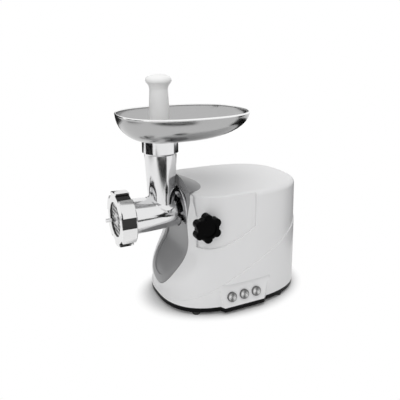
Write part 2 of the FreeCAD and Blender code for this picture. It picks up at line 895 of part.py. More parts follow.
def field_coils():
    shapes = []
    for side in (-1, 1):
        y0 = motor_axis.y + side * (rotor_radius + air_gap + coil_air)
        y1 = motor_axis.y + side * (stator_width / 2 - yoke_thickness)
        half = pole_gap_height - coil_gap
        for level in (-1, 1):
            z0, z1 = motor_axis.z + level * coil_split, motor_axis.z + level * half
            coil = box(stack_start - coil_overhang, stack_end + coil_overhang, min(y0, y1), max(y0, y1),
                       min(z0, z1), max(z0, z1))
            thin = [e for e in coil.Edges if e.BoundBox.XLength < edge_tolerance]
            ends = [e for e in thin if e.BoundBox.ZLength < edge_tolerance]
            shapes.append(coil.makeFillet(coil_round, ends))
    return Part.makeCompound(shapes)


def through_bolts():
    shapes = []
    for bolt in bolt_places():
        end = bracket_rear + bracket_thickness
        rod = along_x(through_bolt_radius, gearbox_rear, end, bolt)
        head = along_x(through_bolt_radius * screw_head_ratio, end, end + screw_head_height, bolt)
        shapes.append(rod.fuse(head))
    return Part.makeCompound(shapes)


def commutator_start():
    return stack_end + coil_overhang


def side_block(side, near, far, half_x, half_z, middle, x1=None):
    y0, y1 = motor_axis.y + side * near, motor_axis.y + side * far
    end = middle + half_x if x1 is None else x1
    return box(middle - half_x, end, min(y0, y1), max(y0, y1), motor_axis.z - half_z, motor_axis.z + half_z)


def brush_holders():
    middle = commutator_start() + commutator_length / 2
    half = brush_width / 2
    shapes = []
    for side in (-1, 1):
        near = commutator_radius + brush_holder_gap
        holder = side_block(side, near, near + brush_holder_length, half + brush_holder_wall,
                            half + brush_holder_wall, middle, bracket_rear)
        shapes.append(holder.cut(side_block(side, near, near + brush_length, half, half, middle)))
    return Part.makeCompound(shapes)


def carbon_brushes():
    middle = commutator_start() + commutator_length / 2
    half = brush_width / 2
    near = commutator_radius + brush_gap
    far = near + brush_length
    return Part.makeCompound([side_block(side, near, far, half, half, middle) for side in (-1, 1)])


def rotor_shaft():
    start = gears_end + pinion_overlap
    pinion = gear(first_module, pinion_teeth, motor_axis, first_start - pinion_overlap, start,
                  motor_angle + math.pi, False)
    end = bracket_rear + bearing_width + shaft_end
    return pinion.fuse(along_x(rotor_shaft_radius, start, end, motor_axis))


def rotor_core():
    core = along_x(rotor_radius, stack_start, stack_end, motor_axis)
    half = rotor_slot_width / 2
    slot = box(stack_start, stack_end, motor_axis.y - half, motor_axis.y + half,
               motor_axis.z + rotor_radius - rotor_slot_depth, motor_axis.z + rotor_radius + clear)
    for i in range(rotor_slots):
        core = core.cut(about_x(slot, 2 * math.pi * i / rotor_slots, motor_axis))
    overhang = coil_overhang - winding_gap
    for x0 in (stack_start - overhang, stack_end):
        core = core.fuse(along_x(rotor_radius - rotor_slot_depth, x0, x0 + overhang, motor_axis))
    return core.cut(along_x(rotor_shaft_radius, stack_start - overcut, stack_end + overcut, motor_axis))


def commutator():
    start = commutator_start()
    return tube_x(commutator_radius, rotor_shaft_radius, start, start + commutator_length, motor_axis)


def cooling_fan():
    fan = along_x(fan_radius, fan_start, fan_start + fan_disc, motor_axis)
    fan = fan.fuse(along_x(rotor_shaft_radius + fan_hub, fan_start, fan_start + fan_width, motor_axis))
    half = fan_blade_thickness / 2
    blade = box(fan_start + fan_disc, fan_start + fan_width, motor_axis.y - half, motor_axis.y + half,
                motor_axis.z + rotor_shaft_radius + fan_hub / 2, motor_axis.z + fan_radius - half)
    for i in range(fan_blades):
        fan = fan.fuse(about_x(blade, 2 * math.pi * i / fan_blades, motor_axis))
    fan = fan.cut(along_x(rotor_shaft_radius, fan_start, fan_start + fan_width, motor_axis))
    return fan.removeSplitter()


def motor_pad():
    middle, low = (stack_start + stack_end) / 2, motor_axis.z - stator_height / 2
    half, side = motor_pad_length / 2, motor_pad_width / 2
    return box(middle - half, middle + half, motor_axis.y - side, motor_axis.y + side,
               low - motor_pad_thickness, low)


def hollow_post(x0, x1, y0, y1, top):
    outer = box(x0, x1, y0, y1, body_bottom, top)
    wall = post_wall
    return outer.cut(box(x0 + wall, x1 - wall, y0 + wall, y1 - wall, body_bottom, top - wall))


def motor_post():
    pad = motor_pad().BoundBox
    return hollow_post(pad.XMin, pad.XMax, pad.YMin, pad.YMax, pad.ZMin)


def gearbox_post():
    half = gearbox_foot_width / 2 - post_inset / 2
    return hollow_post(gearbox_front + post_inset, gearbox_rear - post_inset, first_axis.y - half,
                       first_axis.y + half, gearbox_foot())


def button(place):
    inner = -button_inner_length
    cap = button_rod(place, button_radius, inner, button_proud)
    edge = [e for e in cap.Edges if e.CenterOfMass.distanceToPoint(place + button_axis * button_proud) < 1]
    cap = cap.makeFillet(button_edge, edge)
    ball = button_radius * button_radius / (2 * button_dish)
    cap = cap.cut(Part.makeSphere(ball, place + button_axis * (button_proud + ball - button_dish)))
    cap = cap.fuse(button_rod(place, button_radius + button_flange, inner, inner + button_flange_height))
    stem = button_rod(place, button_stem_radius, inner - button_stem_length, inner)
    return cap.fuse(stem).removeSplitter()


def switch_start():
    return -button_inner_length - button_stem_length - button_travel - switch_gap


def switches():
    shapes = []
    for place in button_places():
        block = Part.makeBox(switch_width, switch_height, switch_depth)
        block.translate(Vector(-switch_width / 2, -switch_height / 2, 0))
        back = place + button_axis * (switch_start() - switch_depth)
        block.Placement = facing(back).multiply(block.Placement)
        shapes.append(block)
    return Part.makeCompound(shapes)


def facing(point):
    # a placement whose local Z points out along the buttons
    return FreeCAD.Placement(point, FreeCAD.Rotation(Vector(1, 0, 0), Vector(), button_axis, "ZXY"))


def switch_board():
    first, last = button_places()[0], button_places()[-1]
    width = last.x - first.x + switch_width + 2 * board_margin
    board = Part.makeBox(width, board_height, board_thickness)
    board.translate(Vector(-width / 2, -board_height / 2, 0))
    centre = (first + last) * 0.5 + button_axis * (switch_start() - switch_depth - board_thickness)
    board.Placement = facing(centre).multiply(board.Placement)
    return board.common(box(-wide, wide, -wide, wide, body_bottom, facet_top))


def revolve_x(points):
    face = Part.Face(Part.makePolygon([Vector(x, 0, r) for x, r in points + [points[0]]]))
    return face.revolve(Vector(0, 0, 0), Vector(1, 0, 0), 360)


def tube_skin(grow):
    thread_back = thread_front + thread_length
    return revolve_x([(thread_front, 0), (thread_front, thread_radius), (thread_back, thread_radius),
                      (tube_front, tube_front_radius + grow), (spigot_start, tube_rear_radius + grow),
                      (spigot_start, 0)])


def neck_radius(z):
    slope = (neck_top_radius - neck_low_radius) / (neck_top - neck_low)
    return neck_low_radius + slope * (z - neck_low)


def grinder_barrel():
    barrel = tube_skin(0).fuse(along_x(spigot_radius, spigot_start, spigot_end))
    barrel = barrel.fuse(tube_skin(saddle_rise).common(along_z(saddle_radius, 0, neck_low)))
    barrel = barrel.fuse(cone_z(neck_radius(0), neck_top_radius, 0, neck_top))
    swell = neck_top - mouth_chamfer
    barrel = barrel.fuse(cone_z(neck_radius(swell), mouth_radius, swell, neck_top))
    barrel = barrel.fuse(along_z(mouth_radius, neck_top, mouth_top))
    barrel = barrel.fuse(along_z(lug_radius, 0, lug_top, lug_x))
    chamber_end = thread_front + chamber_length
    bore = along_x(chamber_radius, thread_front, chamber_end)
    bore = bore.fuse(cone_x(bore_front_radius, bore_rear_radius, chamber_end, spigot_start))
    bore = bore.fuse(along_x(bore_rear_radius, spigot_start, bore_end))
    bore = bore.fuse(along_x(bush_radius, bore_end, spigot_end))
    bore = bore.fuse(cone_z(neck_radius(0) - neck_wall, neck_top_radius - neck_wall, 0, neck_top))
    bore = bore.fuse(along_z(mouth_bore, neck_top, mouth_top))
    return barrel.cut(bore)


def auger_bush():
    return tube_x(bush_radius, journal_radius + running_gap, bore_end, spigot_end)


def bore_radius(x):
    chamber_end = thread_front + chamber_length
    slope = (bore_rear_radius - bore_front_radius) / (spigot_start - chamber_end)
    return bore_front_radius + slope * (x - chamber_end)


def auger_screw():
    core = along_x(auger_core_radius, flight_start, bore_end - auger_end_gap)
    core = core.fuse(along_x(journal_radius, bore_end - auger_end_gap, spigot_end + auger_end_gap))
    core = core.fuse(square_x(tail_width, spigot_end + auger_end_gap, spigot_end + tail_length))
    length = auger_pitch * auger_turns
    helix = Part.makeHelix(auger_pitch, length, auger_core_radius)
    inner, outer = auger_core_radius - auger_flight_bite, bore_front_radius + clear
    profile = Part.makePolygon([Vector(inner, 0, -auger_flight_root), Vector(outer, 0, -auger_flight_tip),
                                Vector(outer, 0, auger_flight_tip), Vector(inner, 0, auger_flight_root),
                                Vector(inner, 0, -auger_flight_root)])
    flight = Part.Wire(helix.Edges).makePipeShell([profile], True, True)
    flight.rotate(Vector(0, 0, 0), Vector(0, 1, 0), 90)
    flight.translate(Vector(flight_start + auger_flight_root, 0, 0))
    end = flight_start + length + 2 * auger_flight_root
    large, small = bore_radius(flight_start) - auger_flight_gap, bore_radius(end) - auger_flight_gap
    envelope = cone_x(large, small, flight_start, end)
    screw = core.fuse(flight.common(envelope))
    screw = screw.fuse(square_x(knife_square, knife_front, flight_start))
    screw = screw.fuse(along_x(plate_bore - running_gap, plate_front, knife_front))
    return screw.fuse(along_x(stud_radius, stud_tip, plate_front))


def cross_knife():
    back = knife_front + knife_thickness
    front = knife_front + plate_gap
    knife = along_x(knife_hub_radius, front, back)
    half = knife_arm_width / 2
    arm = prism([Vector(front, -half, 0), Vector(front, half, 0), Vector(back, half, 0),
                 Vector(back, -half / 2, 0)], Vector(0, 0, knife_reach))
    for i in range(4):
        knife = knife.fuse(about_x(arm, math.pi / 2 * i))
    return knife.cut(square_x(knife_square, front, back)).removeSplitter()


def cutting_plate():
    radius = chamber_radius - plate_gap
    plate = along_x(radius, plate_front, knife_front).cut(along_x(plate_bore, plate_front, knife_front))
    rows = int(radius / plate_hole_pitch) + 1
    holes = []
    for row in range(-rows, rows + 1):
        for column in range(-rows, rows + 1):
            y = plate_hole_pitch * (column + row / 2)
            z = plate_hole_pitch * row * math.sqrt(0.75)
            distance = math.hypot(y, z)
            if plate_bore + plate_hole_radius + clear < distance < nut_opening - plate_hole_radius:
                holes.append(along_x(plate_hole_radius, plate_front, knife_front, Vector(0, y, z)))
    return plate.cut(Part.makeCompound(holes))


def ring_nut():
    nut = along_x(nut_tip_radius, nut_front, nut_back)
    half = nut_notch_width / 2
    notch = box(nut_front, nut_back, -half, half, nut_root_radius, nut_tip_radius + clear)
    for i in range(nut_lobes):
        turn = math.radians(nut_lobe_angle) + 2 * math.pi * (i + 0.5) / nut_lobes
        nut = nut.cut(about_x(notch, turn))
    rims = [e for e in nut.Edges if e.BoundBox.XLength < edge_tolerance]
    nut = nut.makeChamfer(nut_edge, rims)
    nut = nut.cut(along_x(nut_opening, nut_front, nut_back))
    nut = nut.cut(along_x(chamber_radius, plate_front, nut_back))
    return nut.cut(along_x(thread_radius + nut_thread_gap, thread_front - clear, nut_back))


def tray_section(z, inset):
    share = (z - mouth_top) / (tray_rim - mouth_top)
    grow = math.sqrt(max(0.0, 1 - (1 - share) ** 2))
    front = tray_centre - tray_half_length
    rear = tray_centre + tray_half_length
    x0 = tray_floor_front + (front - tray_floor_front) * grow + inset
    x1 = tray_floor_rear + (rear - tray_floor_rear) * grow - inset
    side = tray_floor_half_width + (tray_half_width - tray_floor_half_width) * grow - inset
    centre, half = (x0 + x1) / 2, (x1 - x0) / 2
    return superellipse(half, half, side, tray_roundness, tray_roundness, centre, z)


def tray_heights():
    height = tray_rim - mouth_top
    return [mouth_top + height * share for share in (0, 0.03, 0.1, 0.22, 0.4, 0.65, 1)]


def tray():
    heights = tray_heights()
    outer = Part.makeLoft([tray_section(z, 0) for z in heights], True, False)
    inner = Part.makeLoft([tray_section(z, tray_wall) for z in heights], True, False)
    inner.translate(Vector(0, 0, tray_wall))
    bowl = outer.cut(inner)
    edge = Part.Face(tray_section(tray_rim, tray_wall - tray_bead))
    bead = edge.cut(Part.Face(tray_section(tray_rim, tray_bead))).extrude(Vector(0, 0, 2 * tray_bead))
    bead.translate(Vector(0, 0, -tray_bead))
    bowl = bowl.fuse(bead)
    spout_outer = mouth_bore - spout_gap
    bowl = bowl.fuse(along_z(spout_outer, mouth_top - spout_depth, mouth_top + tray_wall))
    return bowl.cut(along_z(spout_outer - spout_wall, mouth_top - spout_depth, tray_rim)).removeSplitter()


def pusher():
    head, waist = pusher_head_height, pusher_waist
    crown, shoulder = pusher_crown_radius, pusher_shoulder_radius
    low = head - pusher_shoulder_drop
    points = [Vector(0, 0, pusher_bottom), Vector(pusher_bottom_radius, 0, pusher_bottom),
              Vector(pusher_rim_radius, 0, tray_rim), Vector(pusher_waist_radius, 0, waist)]
    edges = Part.makePolygon(points).Edges
    bow = pusher_flare_bow
    flare_mid = Vector((pusher_waist_radius + shoulder) / 2 - bow, 0, (waist + low) / 2 + bow)
    edges.append(Part.Arc(points[-1], flare_mid, Vector(shoulder, 0, low)).toShape())
    brow = Vector(crown, 0, head + pusher_brow_rise)
    widest = Vector(pusher_head_radius, 0, head + pusher_brow_rise / 5)
    edges.append(Part.Arc(Vector(shoulder, 0, low), widest, brow).toShape())
    top = Vector(0, 0, pusher_top)
    dome = pusher_top - brow.z
    dome_radius = (crown ** 2 + dome ** 2) / (2 * dome)
    dome_mid = pusher_top - dome_radius + math.sqrt(dome_radius ** 2 - (crown / 2) ** 2)
    edges.append(Part.Arc(brow, Vector(crown / 2, 0, dome_mid), top).toShape())
    edges.append(Part.makeLine(top, points[0]))
    solid = Part.Face(Part.Wire(edges)).revolve(Vector(0, 0, 0), Vector(0, 0, 1), 360)
    hollow = pusher_waist_radius - pusher_wall
    return solid.cut(along_z(hollow, pusher_bottom, waist))


def recess_wall(x):
    return -side_at(x, 0, crease_step + recess_depth)


def lock_seat_face():
    return recess_wall(lock_x + lock_seat_radius) - lock_seat_proud


def washer_face():
    return lock_seat_face() - lock_washer_gap - lock_washer_thickness


def knob_back():
    return recess_wall(lock_x + knob_lobe_circle + knob_lobe_radius) - knob_clearance


def lock_washer():
    face = washer_face()
    ring = along_y(lock_washer_radius, face, face + lock_washer_thickness, lock_x, 0)
    return ring.cut(along_y(lock_screw_radius + running_gap, face, face + lock_washer_thickness, lock_x, 0))


def lock_knob():
    back = knob_back()
    face = back - knob_thickness
    knob = along_y(knob_disc_radius, face, back, lock_x, 0)
    for i in range(knob_lobes):
        turn = math.pi / 6 + 2 * math.pi * i / knob_lobes
        x, z = knob_lobe_circle * math.cos(turn), knob_lobe_circle * math.sin(turn)
        knob = knob.fuse(along_y(knob_lobe_radius, face, back, lock_x + x, z))
    knob = knob.removeSplitter()
    knob = knob.makeFillet(knob_edge, [e for e in knob.Edges if e.BoundBox.YLength < edge_tolerance])
    hub_end = washer_face() - lock_washer_gap
    knob = knob.fuse(along_y(knob_hub_radius, back - knob_edge, hub_end, lock_x, 0))
    knob = knob.cut(along_y(knob_face_radius, face, face + knob_face_depth, lock_x, 0))
    return knob.cut(along_y(lock_screw_radius, back - knob_thickness / 2, hub_end, lock_x, 0))


def lock_screw():
    start = knob_back() - knob_thickness / 2
    return along_y(lock_screw_radius, start, -spigot_radius - lock_tip_gap, lock_x, 0)


def button_reach():
    out = math.cos(facet_lean) * button_proud + math.sin(facet_lean) * button_radius
    return out - button_places()[0].y


plain_body = body_loft(crease_step)
outer_body = body_loft(0)
pieces["main_housing"] = main_housing(plain_body, outer_body)
pieces["front_panel"] = front_panel(plain_body)
pieces["cord_gland"] = cord_gland(outer_body)
makers = [socket_collar, socket_cup, base_plate, feet, base_screws, gearbox_housing, gearbox_cover,
          gearbox_screws, drive_bushes, idler_pins, lock_nut, motor_bearings, stator_core, field_coils,
          through_bolts, brush_holders, carbon_brushes, motor_pad, switches, switch_board, rotor_shaft,
          rotor_core, commutator, cooling_fan, first_idler, second_idler, output_gear, drive_shaft,
          grinder_barrel, auger_bush, auger_screw, cross_knife, cutting_plate, ring_nut, tray, pusher,
          lock_washer, lock_knob, lock_screw]
for maker in makers:
    pieces[maker.__name__] = maker()
pieces["front_motor_bracket"] = motor_bracket(cover_rear)
pieces["rear_motor_bracket"] = motor_bracket(bracket_rear)
for number, place in enumerate(button_places()):
    pieces["button_" + ("front", "middle", "rear")[number]] = button(place)

near_reach = max(lip_reach, button_reach(), knob_thickness - knob_back())
floor_shift = Vector((front_reach - rear_reach) / 2, (near_reach - far_reach) / 2, axis_height)
os.makedirs("parts", exist_ok=True)
for name, shape in pieces.items():
    shape.translate(floor_shift)
    shape.exportStep("parts/" + name + ".step")
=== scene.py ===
import json
import math
import bpy
import bmesh
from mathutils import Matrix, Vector


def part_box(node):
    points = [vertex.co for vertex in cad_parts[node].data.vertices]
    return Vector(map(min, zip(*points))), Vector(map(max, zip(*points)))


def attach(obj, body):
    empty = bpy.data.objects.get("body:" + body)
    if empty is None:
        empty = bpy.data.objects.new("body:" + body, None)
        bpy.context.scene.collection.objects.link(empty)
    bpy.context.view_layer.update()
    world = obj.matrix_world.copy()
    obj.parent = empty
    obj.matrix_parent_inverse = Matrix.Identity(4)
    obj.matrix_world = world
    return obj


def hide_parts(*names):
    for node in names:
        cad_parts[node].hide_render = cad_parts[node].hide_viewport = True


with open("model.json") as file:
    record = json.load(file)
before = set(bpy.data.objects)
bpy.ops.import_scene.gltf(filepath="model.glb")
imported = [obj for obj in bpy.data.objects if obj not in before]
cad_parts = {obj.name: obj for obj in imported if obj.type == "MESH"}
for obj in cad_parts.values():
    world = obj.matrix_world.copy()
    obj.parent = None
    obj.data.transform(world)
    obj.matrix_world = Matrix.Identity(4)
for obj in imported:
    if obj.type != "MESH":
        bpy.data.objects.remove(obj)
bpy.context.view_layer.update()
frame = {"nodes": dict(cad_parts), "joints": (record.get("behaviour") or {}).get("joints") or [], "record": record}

nodes = frame["nodes"]
print("frame loaded:", len(nodes), "nodes")

headPoint = Vector((-0.06755, 0.003395, 0.1395))  # where the neck's axis meets the head's axis
perMetre = 1000  # millimetres


class Signal:  # a shader value that takes part in Python arithmetic
    def __init__(self, tree, socket=None):
        self.tree = tree
        self.socket = socket

    def node(self, kind, settings=None, links=None, out=0):
        made = self.tree.nodes.new("ShaderNode" + kind)
        for key, value in (settings or {}).items():
            setattr(made, key, value)
        for key, value in (links or {}).items():
            if isinstance(value, Signal):
                self.tree.links.new(value.socket, made.inputs[key])
            else:
                made.inputs[key].default_value = value
        return Signal(self.tree, made.outputs[out])

    def calc(self, operation, first, second=0.0):
        return self.node("Math", {"operation": operation}, {0: first, 1: second})

    def __add__(self, other):
        return self.calc("ADD", self, other)

    def __radd__(self, other):
        return self.calc("ADD", other, self)

    def __sub__(self, other):
        return self.calc("SUBTRACT", self, other)

    def __rsub__(self, other):
        return self.calc("SUBTRACT", other, self)

    def __mul__(self, other):
        return self.calc("MULTIPLY", self, other)

    def __rmul__(self, other):
        return self.calc("MULTIPLY", other, self)

    def __truediv__(self, other):
        return self.calc("DIVIDE", self, other)

    def __rtruediv__(self, other):
        return self.calc("DIVIDE", other, self)

    def __pow__(self, other):
        return self.calc("POWER", self, other)

    def fade(self, low, high):  # 0 below low, 1 above high, smooth between
        return self.node("MapRange", {"interpolation_type": "SMOOTHSTEP"},
                         {"Value": self, "From Min": low, "From Max": high})

    def blend(self, first, second):  # colour mixed by this value
        return self.node("Mix", {"data_type": "RGBA"}, {0: self, 6: first, 7: second}, 2)


def grey(level):
    return (level, level, level, 1)


def shade(color, factor):
    return tuple(c * factor for c in color) + (1,)


def newFinish(name, constants):
    material = bpy.data.materials.new(name)
    material.use_nodes = True
    shader = material.node_tree.nodes["Principled BSDF"]
    for key, value in constants.items():
        shader.inputs[key].default_value = value
    return material, shader, Signal(material.node_tree)


def feed(shader, links):
    for key, signal in links.items():
        signal.tree.links.new(signal.socket, shader.inputs[key])


def places(start):
    return start.node("TexCoord", out="Object")


def axesOf(start, where):
    parts = start.node("SeparateXYZ", links={0: where})
    owner = parts.socket.node
    return [Signal(start.tree, owner.outputs[i]) for i in range(3)]


def noise(start, where, scale, detail=2.0, rough=0.5):
    links = {"Vector": where, "Scale": scale, "Detail": detail, "Roughness": rough}
    return start.node("TexNoise", links=links)


def stretched(start, where, factors):
    return start.node("VectorMath", {"operation": "MULTIPLY"}, {0: where, 1: factors})


def bump(start, height, strength, distance):
    return start.node("Bump", links={"Height": height, "Strength": strength, "Distance": distance})


def around(signal, middle, spread):  # a 0 to 1 signal turned into middle plus or minus half the spread
    return middle + (signal - 0.5) * spread


def dress(material, name):
    slots = nodes[name].data.materials
    slots.clear()
    slots.append(material)


mouldedLook = {
    "white_shell": {"color": (0.80, 0.80, 0.805), "rough": 0.36, "coat": 0.2, "grain": 0.05, "gloss": 0.5},
    "grey_panel": {"color": (0.265, 0.265, 0.27), "rough": 0.38, "coat": 0.15, "grain": 0.12, "gloss": 0.45},
    "black_base": {"color": (0.003, 0.003, 0.0035), "rough": 0.3, "coat": 0.0, "grain": 0.08, "gloss": 0.08},
    "knob_black": {
        "color": (0.001, 0.001, 0.0012), "rough": 0.14, "coat": 0.0, "grain": 0.03, "gloss": 0.04},
    "cup_dark": {"color": (0.02, 0.02, 0.022), "rough": 0.4, "coat": 0.0, "grain": 0.1, "gloss": 0.4},
    "nylon": {"color": (0.72, 0.69, 0.60), "rough": 0.45, "coat": 0.0, "grain": 0.1, "gloss": 0.5},
    "switch_plastic": {
        "color": (0.03, 0.03, 0.034), "rough": 0.45, "coat": 0.0, "grain": 0.15, "gloss": 0.4},
    "carbon": {"color": (0.02, 0.02, 0.02), "rough": 0.7, "coat": 0.0, "grain": 0.4, "gloss": 0.3},
}
mouldedSkin = {
    "coatRough": 0.12, "flowScale": 14.0, "fineScale": 2600.0, "dark": 0.965, "light": 1.02,
    "flowRough": 0.1, "fineRough": 0.06, "coatLow": 0.8, "coatRise": 0.4, "depth": 0.0002,
}


def mouldedPlastic(name):
    look, skin = mouldedLook[name], mouldedSkin
    constants = {"Coat Roughness": skin["coatRough"], "Specular IOR Level": look["gloss"]}
    material, shader, start = newFinish(name, constants)
    where = places(start)
    flow = noise(start, where, skin["flowScale"])  # broad unevenness of the moulding
    fine = noise(start, where, skin["fineScale"])  # spark-eroded grain
    color = look["color"]
    feed(shader, {
        "Base Color": flow.blend(shade(color, skin["dark"]), shade(color, skin["light"])),
        "Roughness": around(flow, look["rough"], skin["flowRough"]) + (fine - 0.5) * skin["fineRough"],
        "Coat Weight": look["coat"] * (skin["coatLow"] + skin["coatRise"] * flow),
        "Normal": bump(start, fine, look["grain"], skin["depth"]),
    })
    return material


metalLook = {
    "polished_casting": {"color": (0.80, 0.80, 0.805), "rough": 0.13, "lines": (40, 40, 900), "grain": 0.03},
    "bright_ring": {"color": (0.78, 0.78, 0.79), "rough": 0.08, "lines": (80, 80, 80), "grain": 0.01},
    "steel": {"color": (0.52, 0.52, 0.53), "rough": 0.3, "lines": (900, 60, 60), "grain": 0.06},
    "gearbox_casting": {"color": (0.46, 0.46, 0.47), "rough": 0.5, "lines": (400, 400, 400), "grain": 0.3},
    "bronze": {"color": (0.50, 0.33, 0.13), "rough": 0.36, "lines": (300, 300, 300), "grain": 0.12},
}
metalSkin = {
    "cloudScale": 30.0, "dark": 0.93, "light": 1.04, "cloudRough": 0.06, "lineRough": 0.08, "depth": 0.0003,
}


lineLook = {"scale": 2.0, "detail": 3.0, "rough": 0.6}


def polishLines(start, where, stretch):
    drawn = stretched(start, where, stretch)
    return noise(start, drawn, lineLook["scale"], lineLook["detail"], lineLook["rough"])


def workedMetal(name):
    look, skin = metalLook[name], metalSkin
    material, shader, start = newFinish(name, {"Metallic": 1.0})
    where = places(start)
    cloud = noise(start, where, skin["cloudScale"], detail=3.0)  # slow change left by polishing
    lines = polishLines(start, where, look["lines"])
    color = look["color"]
    mixed = cloud * 0.5 + lines * 0.5
    feed(shader, {
        "Base Color": mixed.blend(shade(color, skin["dark"]), shade(color, skin["light"])),
        "Roughness": around(cloud, look["rough"], skin["cloudRough"]) + (lines - 0.5) * skin["lineRough"],
        "Normal": bump(start, lines, look["grain"], skin["depth"]),
    })
    return material


steelLook = {  # the rim's heights are metres above the floor; the rim colour is a painted highlight
    "bowl": 0.45, "rim": 0.92, "rimHighlightLow": 0.2822, "rimHighlightHigh": 0.2836, "rough": 0.19, "roughSpread": 0.06,
    "cloudScale": 30.0, "lines": (60, 60, 300), "dark": 0.95, "light": 1.05, "grain": 0.004, "depth": 0.0003,
}


def pressedSteel():
    look = steelLook
    material, shader, start = newFinish("polished_steel", {"Metallic": 1.0})
    where = places(start)
    height = axesOf(start, where)[2]
    rim = height.fade(look["rimHighlightLow"], look["rimHighlightHigh"])  # painted highlight: the rolled edge is painted brighter than the bowl
    cloud = noise(start, where, look["cloudScale"], detail=3.0)
    lines = polishLines(start, where, look["lines"])
    mixed = cloud * 0.5 + lines * 0.5
    bowl = mixed.blend(grey(look["bowl"] * look["dark"]), grey(look["bowl"] * look["light"]))
    feed(shader, {
        # the rim band gets the painted highlight colour
        "Base Color": rim.blend(bowl, grey(look["rim"])),
        "Roughness": around(cloud, look["rough"], look["roughSpread"]) + (lines - 0.5) * look["roughSpread"],
        "Normal": bump(start, lines, look["grain"], look["depth"]),
    })
    return material


nutLook = {
    "bright": 0.80, "worn": 0.93, "notchShade": 0.06, "notch": 0.0368, "lobe": 0.0384, "skin": 0.0004,
    "rough": 0.14, "dullRough": 0.25, "cloudScale": 40.0, "cloudRough": 0.05,
    "lines": (900, 60, 60), "grain": 0.03, "depth": 0.0003,
}


def ringNutMetal():
    look = nutLook
    material, shader, start = newFinish("ring_nut_metal", {"Metallic": 1.0})
    where = places(start)
    x, y, z = axesOf(start, where)
    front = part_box("ring_nut")[0][0]
    distance = ((y - headPoint.y) ** 2.0 + (z - headPoint.z) ** 2.0) ** 0.5
    face = 1.0 - x.fade(front + look["skin"], front + 2 * look["skin"])
    lobes = distance.fade(look["notch"], look["lobe"])
    polishedOutsideShade = start.calc("MAXIMUM", lobes, face)  # painted shade: the notches are painted dark, and get a rougher casting skin
    cloud = noise(start, where, look["cloudScale"], detail=3.0)
    lines = polishLines(start, where, look["lines"])
    bright = cloud.blend(grey(look["bright"] * look["worn"]), grey(look["bright"]))
    rough = look["rough"] + (1.0 - polishedOutsideShade) * look["dullRough"]
    feed(shader, {
        # painted shade in the notches, polished metal elsewhere
        "Base Color": polishedOutsideShade.blend(grey(look["notchShade"]), bright),
        "Roughness": rough + (cloud - 0.5) * look["cloudRough"],
        "Normal": bump(start, lines, look["grain"], look["depth"]),
    })
    return material


rubberLook = {
    "color": (0.018, 0.018, 0.018), "light": 1.8, "gloss": 0.35, "rough": 0.72, "roughSpread": 0.2,
    "fineScale": 1500.0, "bloomScale": 60.0, "grain": 0.35, "depth": 0.0002,
}


def softRubber():
    look = rubberLook
    material, shader, start = newFinish("rubber_black", {"Specular IOR Level": look["gloss"]})
    where = places(start)
    fine = noise(start, where, look["fineScale"], detail=3.0)
    bloom = noise(start, where, look["bloomScale"], detail=3.0)
    feed(shader, {
        "Base Color": bloom.blend(shade(look["color"], 1.0), shade(look["color"], look["light"])),
        "Roughness": around(bloom, look["rough"], look["roughSpread"]),
        "Normal": bump(start, fine, look["grain"], look["depth"]),
    })
    return material


pusherLook = {
    "color": (0.90, 0.90, 0.895), "dark": 0.97, "rough": 0.38, "roughSpread": 0.12, "flowScale": 35.0,
    "fineScale": 1800.0, "grain": 0.06, "depth": 0.0002, "glow": 0.35, "glowRadius": 0.01, "glowScale": 0.6,
}


def pusherPlastic():
    look = pusherLook
    material, shader, start = newFinish("pusher_white", {
        "Subsurface Weight": look["glow"], "Subsurface Radius": (look["glowRadius"],) * 3,
        "Subsurface Scale": look["glowScale"]})
    where = places(start)
    flow = noise(start, where, look["flowScale"])
    fine = noise(start, where, look["fineScale"])
    feed(shader, {
        "Base Color": flow.blend(shade(look["color"], look["dark"]), shade(look["color"], 1.0)),
        "Roughness": around(flow, look["rough"], look["roughSpread"]),
        "Normal": bump(start, fine, look["grain"], look["depth"]),
    })
    return material


coilLook = {
    "color": (0.42, 0.15, 0.06), "dark": 0.7, "light": 1.25, "metal": 0.9, "wire": 0.0007,
    "cloudScale": 80.0, "rough": 0.3, "roughRise": 0.15, "grain": 0.5, "depth": 0.0003,
}


def copperWinding():
    look = coilLook
    material, shader, start = newFinish("copper", {"Metallic": look["metal"]})
    where = places(start)
    height = axesOf(start, where)[2]
    wires = start.calc("SINE", height * (2 * math.pi / look["wire"]))
    cloud = noise(start, where, look["cloudScale"], detail=3.0)
    feed(shader, {
        "Base Color": cloud.blend(shade(look["color"], look["dark"]), shade(look["color"], look["light"])),
        "Roughness": look["rough"] + cloud * look["roughRise"],
        "Normal": bump(start, wires, look["grain"], look["depth"]),
    })
    return material


boardLook = {
    "dark": (0.02, 0.09, 0.03, 1), "light": (0.04, 0.16, 0.06, 1), "coatRough": 0.2, "weaveScale": 900.0,
    "cloudScale": 120.0, "cloudShare": 0.6, "weaveShare": 0.4, "rough": 0.35, "roughRise": 0.1, "coat": 0.3,
    "grain": 0.1, "depth": 0.0001,
}


def circuitBoard():
    look = boardLook
    material, shader, start = newFinish("board_green", {"Coat Roughness": look["coatRough"]})
    where = places(start)
    links = {"Vector": where, "Scale": look["weaveScale"]}
    weave = start.node("TexWave", {"bands_direction": "DIAGONAL"}, links)
    cloud = noise(start, where, look["cloudScale"])
    mixed = cloud * look["cloudShare"] + weave * look["weaveShare"]
    feed(shader, {
        "Base Color": mixed.blend(look["dark"], look["light"]),
        "Roughness": look["rough"] + weave * look["roughRise"],
        "Coat Weight": cloud * look["coat"],
        "Normal": bump(start, weave, look["grain"], look["depth"]),
    })
    return material


buttonLook = {
    "rings": 0.00028, "bright": 0.75, "dark": 0.14, "hubStart": 0.0014, "hubEnd": 0.002, "hubTone": 0.25,
    "rimStart": 0.0056, "rimEnd": 0.0063, "rimTone": 0.85, "wedges": 2.0, "wedgeTurn": 0.9, "paintedReflectionTone": 0.9,
    "rough": 0.26, "ringRough": 0.04, "rimRough": 0.1, "grain": 0.15, "depth": 0.0001,
}


